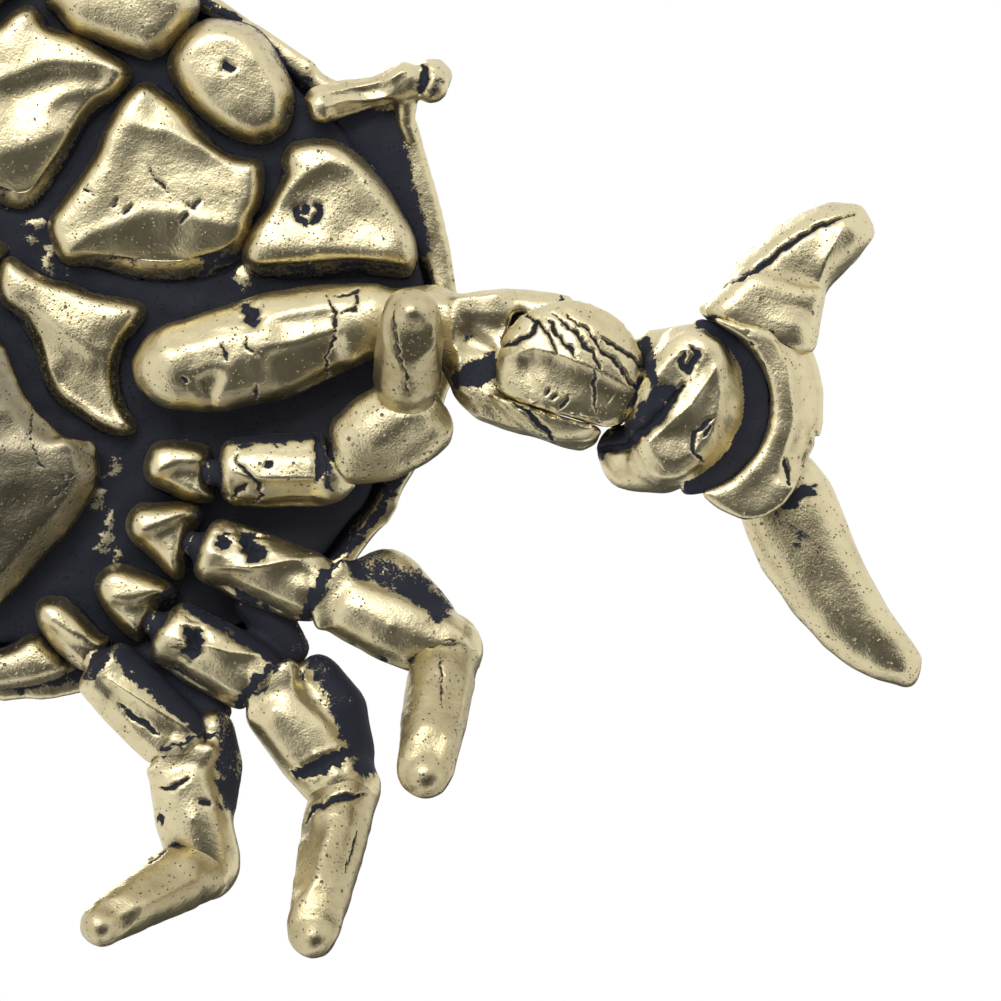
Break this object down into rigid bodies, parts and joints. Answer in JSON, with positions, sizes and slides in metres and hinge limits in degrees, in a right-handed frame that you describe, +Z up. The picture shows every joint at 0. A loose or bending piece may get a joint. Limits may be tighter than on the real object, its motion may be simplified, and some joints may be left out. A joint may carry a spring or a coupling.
{
  "type": "crab figurine",
  "caption": "Standing cast brass crab ornament: a domed shell over raised belly plates, with hinged walking legs and pincer claws that lift, swing and close.",
  "frame": {"origin": "on the ground under the middle of the overall box, between the foot tips", "axes": "+Z up, -Y toward the crab's front, +X toward the crab's left side"},
  "size_m": [0.1182, 0.0618, 0.0243],
  "materials": {
    "polished_brass": "polished raised faces with small casting pits and tool cuts over dark grooves",
    "worn_brass": "dull olive brass, rubbed only at the edge",
    "patina_brass": "blue-black patina left in the recesses"
  },
  "bodies": {
    "trunk": {"shell": "polished_brass", "belly_plate": "patina_brass", "tail_flap": "worn_brass", "mouth_plate_left": "polished_brass", "antenna_plate_left": "polished_brass", "cheek_plate_left": "polished_brass", "breast_plate_left": "polished_brass", "tail_plate_left": "polished_brass", "eye_left": "polished_brass", "arm_left": "polished_brass", "coxa_1_left": "polished_brass", "merus_1_left": "polished_brass", "coxa_2_left": "polished_brass", "merus_2_left": "polished_brass", "coxa_3_left": "polished_brass", "merus_3_left": "polished_brass", "coxa_4_left": "polished_brass", "merus_4_left": "polished_brass", "mouth_plate_right": "polished_brass", "antenna_plate_right": "polished_brass", "cheek_plate_right": "polished_brass", "breast_plate_right": "polished_brass", "tail_plate_right": "polished_brass", "eye_right": "polished_brass", "arm_right": "polished_brass", "coxa_1_right": "polished_brass", "merus_1_right": "polished_brass", "coxa_2_right": "polished_brass", "merus_2_right": "polished_brass", "coxa_3_right": "polished_brass", "merus_3_right": "polished_brass", "coxa_4_right": "polished_brass", "merus_4_right": "polished_brass"},
    "shin_1_left": {"carpus_1_left": "polished_brass"},
    "tip_1_left": {"dactyl_1_left": "polished_brass"},
    "shin_2_left": {"carpus_2_left": "polished_brass"},
    "tip_2_left": {"dactyl_2_left": "polished_brass"},
    "shin_3_left": {"carpus_3_left": "polished_brass"},
    "tip_3_left": {"dactyl_3_left": "polished_brass"},
    "shin_4_left": {"carpus_4_left": "polished_brass"},
    "tip_4_left": {"dactyl_4_left": "polished_brass"},
    "forearm_left": {"knuckle_left": "polished_brass", "wrist_left": "polished_brass"},
    "claw_left": {"palm_left": "polished_brass", "fixed_finger_left": "polished_brass"},
    "finger_left": {"moving_finger_left": "polished_brass"},
    "shin_1_right": {"carpus_1_right": "polished_brass"},
    "tip_1_right": {"dactyl_1_right": "polished_brass"},
    "shin_2_right": {"carpus_2_right": "polished_brass"},
    "tip_2_right": {"dactyl_2_right": "polished_brass"},
    "shin_3_right": {"carpus_3_right": "polished_brass"},
    "tip_3_right": {"dactyl_3_right": "polished_brass"},
    "shin_4_right": {"carpus_4_right": "polished_brass"},
    "tip_4_right": {"dactyl_4_right": "polished_brass"},
    "forearm_right": {"knuckle_right": "polished_brass", "wrist_right": "polished_brass"},
    "claw_right": {"palm_right": "polished_brass", "fixed_finger_right": "polished_brass"},
    "finger_right": {"moving_finger_right": "polished_brass"}
  },
  "joints": [
    {"name": "knee_1_left", "type": "hinge", "parent": "trunk", "child": "shin_1_left", "pos_m": [0.0216, -0.00011, 0.00745], "axis": [-0.1781, -0.2743, 0.945], "range_deg": [-4, 8]},
    {"name": "tip_1_left", "type": "hinge", "parent": "shin_1_left", "child": "tip_1_left", "pos_m": [0.02403, -0.00582, 0.00625], "axis": [-0.5954, -0.3993, 0.6971], "range_deg": [0, 8]},
    {"name": "knee_2_left", "type": "hinge", "parent": "trunk", "child": "shin_2_left", "pos_m": [0.02464, 0.00641, 0.00745], "axis": [0, 0, -1], "range_deg": [-12, 10]},
    {"name": "tip_2_left", "type": "hinge", "parent": "shin_2_left", "child": "tip_2_left", "pos_m": [0.03375, 0.00513, 0.00745], "axis": [-0.0924, -0.6573, -0.7479], "range_deg": [0, 22]},
    {"name": "knee_3_left", "type": "hinge", "parent": "trunk", "child": "shin_3_left", "pos_m": [0.02448, 0.01288, 0.00745], "axis": [0, 0, -1], "range_deg": [-10, 10]},
    {"name": "tip_3_left", "type": "hinge", "parent": "shin_3_left", "child": "tip_3_left", "pos_m": [0.03296, 0.01557, 0.00745], "axis": [0.208, -0.6557, -0.7258], "range_deg": [0, 22]},
    {"name": "knee_4_left", "type": "hinge", "parent": "trunk", "child": "shin_4_left", "pos_m": [0.02244, 0.0185, 0.00745], "axis": [0, 0, -1], "range_deg": [-10, 12]},
    {"name": "tip_4_left", "type": "hinge", "parent": "shin_4_left", "child": "tip_4_left", "pos_m": [0.02813, 0.02399, 0.00745], "axis": [0.5022, -0.52, -0.691], "range_deg": [0, 22]},
    {"name": "elbow_left", "type": "hinge", "parent": "trunk", "child": "forearm_left", "pos_m": [0.0294, -0.01251, 0.0076], "axis": [-0.2588, -0.9659, 0], "range_deg": [-6, 28]},
    {"name": "wrist_left", "type": "hinge", "parent": "forearm_left", "child": "claw_left", "pos_m": [0.03809, -0.01484, 0.0076], "axis": [0, 0, 1], "range_deg": [-14, 14]},
    {"name": "finger_left", "type": "hinge", "parent": "claw_left", "child": "finger_left", "pos_m": [0.04499, -0.01363, 0.0076], "axis": [0, 0, -1], "range_deg": [-8, 40]},
    {"name": "knee_1_right", "type": "hinge", "parent": "trunk", "child": "shin_1_right", "pos_m": [-0.0216, -0.00011, 0.00745], "axis": [-0.1781, 0.2743, -0.945], "range_deg": [-4, 8]},
    {"name": "tip_1_right", "type": "hinge", "parent": "shin_1_right", "child": "tip_1_right", "pos_m": [-0.02403, -0.00582, 0.00625], "axis": [-0.5954, 0.3993, -0.6971], "range_deg": [0, 8]},
    {"name": "knee_2_right", "type": "hinge", "parent": "trunk", "child": "shin_2_right", "pos_m": [-0.02464, 0.00641, 0.00745], "axis": [0, 0, 1], "range_deg": [-12, 10]},
    {"name": "tip_2_right", "type": "hinge", "parent": "shin_2_right", "child": "tip_2_right", "pos_m": [-0.03375, 0.00513, 0.00745], "axis": [-0.0924, 0.6573, 0.7479], "range_deg": [0, 22]},
    {"name": "knee_3_right", "type": "hinge", "parent": "trunk", "child": "shin_3_right", "pos_m": [-0.02448, 0.01288, 0.00745], "axis": [0, 0, 1], "range_deg": [-10, 10]},
    {"name": "tip_3_right", "type": "hinge", "parent": "shin_3_right", "child": "tip_3_right", "pos_m": [-0.03296, 0.01557, 0.00745], "axis": [0.208, 0.6557, 0.7258], "range_deg": [0, 22]},
    {"name": "knee_4_right", "type": "hinge", "parent": "trunk", "child": "shin_4_right", "pos_m": [-0.02244, 0.0185, 0.00745], "axis": [0, 0, 1], "range_deg": [-10, 12]},
    {"name": "tip_4_right", "type": "hinge", "parent": "shin_4_right", "child": "tip_4_right", "pos_m": [-0.02813, 0.02399, 0.00745], "axis": [0.5022, 0.52, 0.691], "range_deg": [0, 22]},
    {"name": "elbow_right", "type": "hinge", "parent": "trunk", "child": "forearm_right", "pos_m": [-0.0294, -0.01251, 0.0076], "axis": [-0.2588, 0.9659, 0], "range_deg": [-6, 28]},
    {"name": "wrist_right", "type": "hinge", "parent": "forearm_right", "child": "claw_right", "pos_m": [-0.03809, -0.01484, 0.0076], "axis": [0, 0, -1], "range_deg": [-14, 14]},
    {"name": "finger_right", "type": "hinge", "parent": "claw_right", "child": "finger_right", "pos_m": [-0.04499, -0.01363, 0.0076], "axis": [0, 0, 1], "range_deg": [-8, 40]}
  ]
}
